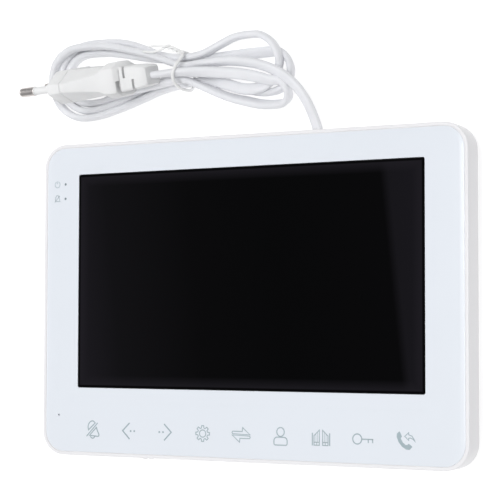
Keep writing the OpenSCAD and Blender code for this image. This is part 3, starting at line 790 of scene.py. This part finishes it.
def patch(points):
    """A filled flat shape of ink."""
    return loft("ink", [[(x, y, z) for x, y in points] for z in (INK_Z, INK_Z + INK_T)])


def ring_points(x, y, rx, ry=None, start=0, end=360, steps=28):
    ry = ry or rx
    last = steps if end - start >= 360 else steps + 1
    turn = [math.radians(start + (end - start) * i / steps) for i in range(last)]
    return [(x + rx * math.cos(a), y + ry * math.sin(a)) for a in turn]


def curve_points(points, step=0.25):
    """A smooth line through a few (x, y) points."""
    return [p[:2] for p in smooth_route([(*p, 0) for p in points], step)]


LINE, THIN_LINE = 0.46, 0.42


def muted_bell():
    """A bell struck through from corner to corner."""
    upper = curve_points([(-2.1, -0.1), (-2.35, 1.0), (-2.15, 2.1), (-1.3, 3.2), (0.05, 3.6),
                          (1.15, 2.8)])
    lower = curve_points([(1.75, 1.0), (2.2, -0.3), (2.85, -1.5), (3.0, -2.3), (2.6, -2.7)])
    lower += [(-1.6, -2.35)]
    clapper = curve_points([(-1.2, -2.7), (-0.8, -3.2), (-0.1, -3.5), (0.6, -3.2), (1.0, -2.7)])
    return [strip(upper, LINE, True), strip(lower, LINE, True), strip(clapper, LINE),
            strip([(-3.05, -2.75), (2.35, 2.85)], LINE)]


def chevron(side):
    """An arrow head that points to one side, with two dots behind it."""
    marks = [strip([(side * -0.5, 3.3), (side * 2.85, 0.05), (side * -0.5, -3.3)], 0.56)]
    dot_r = 0.42
    marks += [patch(ring_points(side * x, 0, dot_r, steps=16)) for x in (-1.0, -2.75)]
    return marks


def gear():
    outer = []
    for i in range(8):
        for turn, radius in ((-15, 2.45), (-8.5, 3.4), (8.5, 3.4), (15, 2.45)):
            a = math.radians(45 * i + 90 + turn)
            outer.append((radius * math.cos(a), radius * math.sin(a)))
    return [strip(outer, THIN_LINE, True), strip(ring_points(0, 0, 1.55), THIN_LINE, True)]


def exchange():
    """Two half arrows that point opposite ways."""
    half = [(-4.1, 1.45), (0.55, 1.45), (0.75, 3.1), (4.3, 0.15), (-4.1, 0.4), (-4.4, 0.9)]
    return [strip(half, 0.4, True), strip([(-x, -y) for x, y in half], 0.4, True)]


def person():
    body = [*ring_points(-1.6, -1.9, 1.5, start=90, end=180, steps=6),
            *ring_points(-2.4, -3.0, 0.7, start=180, end=270, steps=4),
            *ring_points(2.4, -3.0, 0.7, start=270, end=360, steps=4)[:5],
            *ring_points(1.6, -1.9, 1.5, start=0, end=90, steps=6)]
    return [strip(ring_points(0, 1.8, 1.75, 1.85), LINE, True), strip(body, LINE, True)]


def gate():
    """Two leaves with sloping tops, a rail and thin bars, between two posts."""
    marks = []
    for s in (-1, 1):
        leaf = [(s * 3.2, -3.15), (s * 3.2, 0.75), (s * 0.75, 3.1), (s * 0.75, -3.15)]
        marks += [strip(leaf, THIN_LINE, True), strip([(s * 0.8, -1.95), (s * 3.15, -1.95)], 0.4),
                  strip([(s * 3.95, 1.9), (s * 3.95, -3.3)], 0.5),
                  strip([(s * 1.55, -1.9), (s * 1.55, 2.2)], 0.2),
                  strip([(s * 2.3, -1.9), (s * 2.3, 1.5)], 0.2),
                  strip([(s * 1.95, -1.95), (s * 1.95, -3.15)], 0.3)]
    return marks


def key():
    return [strip(ring_points(-2.35, 0, 2.0, 2.05), 0.5, True), strip([(-0.3, 0), (4.75, 0)], LINE),
            strip([(2.55, 0), (2.55, -1.5)], LINE), strip([(4.5, 0), (4.5, -1.5)], LINE)]


def handset():
    """A solid handset, and an arrow that curves back over it."""
    outer = [(-1.9, 3.4), (-2.9, 2.5), (-2.95, 1.2), (-2.2, -0.6), (-0.9, -2.2), (0.8, -3.3),
             (2.2, -3.4), (3.3, -2.3)]
    inner = [(3.2, -2.0), (1.9, -1.1), (1.3, -1.6), (0.6, -1.6), (-0.5, -0.7), (-1.1, 0.4),
             (-1.3, 0.8), (-0.8, 1.5), (-1.6, 3.2)]
    arrow = [(0.3, 1.6), (1.9, 3.05), (1.9, 2.25), (3.2, 1.75), (4.2, 0.3), (4.5, -0.35),
             (3.6, 0.65), (2.6, 1.05), (1.9, 0.95), (1.9, 0.15)]
    return [patch(outer + inner), strip(arrow, 0.34, True)]


def power_mark():
    """A ring that is open at the top, with a short upright line."""
    return [strip(ring_points(0, 0, 1.25, 1.3, start=112, end=428, steps=20), THIN_LINE),
            strip([(0, 0.25), (0, 1.45)], THIN_LINE)]


def small_bell():
    size = 0.42
    bell = curve_points([(-1.9, -2.4), (-2.2, 0.5), (-1.3, 3.0), (0, 3.6), (1.3, 3.0), (2.2, 0.5),
                         (3.0, -2.4)])
    return [strip([(x * size, y * size) for x, y in bell], THIN_LINE, True),
            strip([(-1.4, -1.3), (1.2, 1.4)], 0.34)]


def printed(name, marks, x, y, finish="print", size=1.0):
    """Marks joined in one piece of ink, at a place on the front plate."""
    mark = join(name, marks)
    moved = Matrix.Translation(Vector((x, y, 0)) * MM)
    mark.data.transform(moved @ Matrix.Diagonal((size, size, 1, 1)))
    return finished(mark, "front_plate", finish=finish)


# Name, drawing, size, and how far it stands from its even place along the row
SMALLER = 0.93
KEY_MARKS = [("mark_mute", muted_bell(), 1.0, 0), ("mark_back", chevron(-1), 1.0, 0),
             ("mark_next", chevron(1), 1.0, 0), ("mark_setup", gear(), SMALLER, 0),
             ("mark_exchange", exchange(), SMALLER, 0), ("mark_person", person(), SMALLER, 0),
             ("mark_gate", gate(), SMALLER, 0), ("mark_key", key(), SMALLER, 0),
             ("mark_answer", handset(), 1.0, -0.45)]
for i, (name, marks, size, shift) in enumerate(KEY_MARKS):
    printed(name, marks, KEY_X + (i - 4) * KEY_PITCH + shift, KEY_Y, size=size)
printed("mark_power", power_mark(), MARK_X, POWER_Y, "pale_print")
printed("mark_muted", small_bell(), MARK_X, MUTE_Y, "pale_print")


# --------------------------------------------------------- carried-over nodes

SLOTS = {entry["node"]: entry["material_slot"] for entry in frame["record"]["subparts"]}
for node, obj in frame["nodes"].items():
    obj.data.materials.clear()
    obj.data.materials.append(FINISHES[SLOTS[node]])


# --------------------------------------------------------------------- studio

def add_floor():
    """A wide plain floor that gives off some light, so that it comes out white."""
    reach, level = 4000, -0.2
    material = new_material("floor", (0.5, 0.5, 0.5), 0.8, specular=0.1)
    paint(material, mix_colours(material, noise(material, 60), (0.49,) * 3, (0.51,) * 3))
    shader_of(material).inputs["Emission Color"].default_value = (1, 1, 1, 1)
    shader_of(material).inputs["Emission Strength"].default_value = 0.68
    corners = [(-reach, -reach), (reach, -reach), (reach, reach), (-reach, reach)]
    floor = mesh_object("floor", [(x, y, level) for x, y in corners], [(0, 1, 2, 3)])
    floor.data.materials.append(material)


def add_light(name, place_at, size, power):
    """A soft square light that faces the object. Places are in metres."""
    data = bpy.data.lights.new(name, "AREA")
    data.size = size
    data.energy = power
    light = bpy.data.objects.new(name, data)
    light.location = place_at
    light.rotation_euler = (-Vector(place_at)).to_track_quat("-Z", "Y").to_euler()
    scene.collection.objects.link(light)


def add_world():
    world = bpy.data.worlds.new("studio")
    world.use_nodes = True
    background = world.node_tree.nodes["Background"]
    background.inputs["Color"].default_value = (0.95, 0.97, 1.0, 1)
    background.inputs["Strength"].default_value = 0.25
    scene.world = world


add_floor()
add_world()
add_light("over_light", (0.15, 0.05, 2), 0.9, 20)
add_light("top_light", (-0.1, 1.3, 1.5), 1.2, 7)
add_light("front_light", (0.1, -1.5, 1.4), 1.2, 10)
add_light("left_light", (-1.7, 0.2, 0.9), 1.0, 6)
scene.view_settings.view_transform = "Standard"
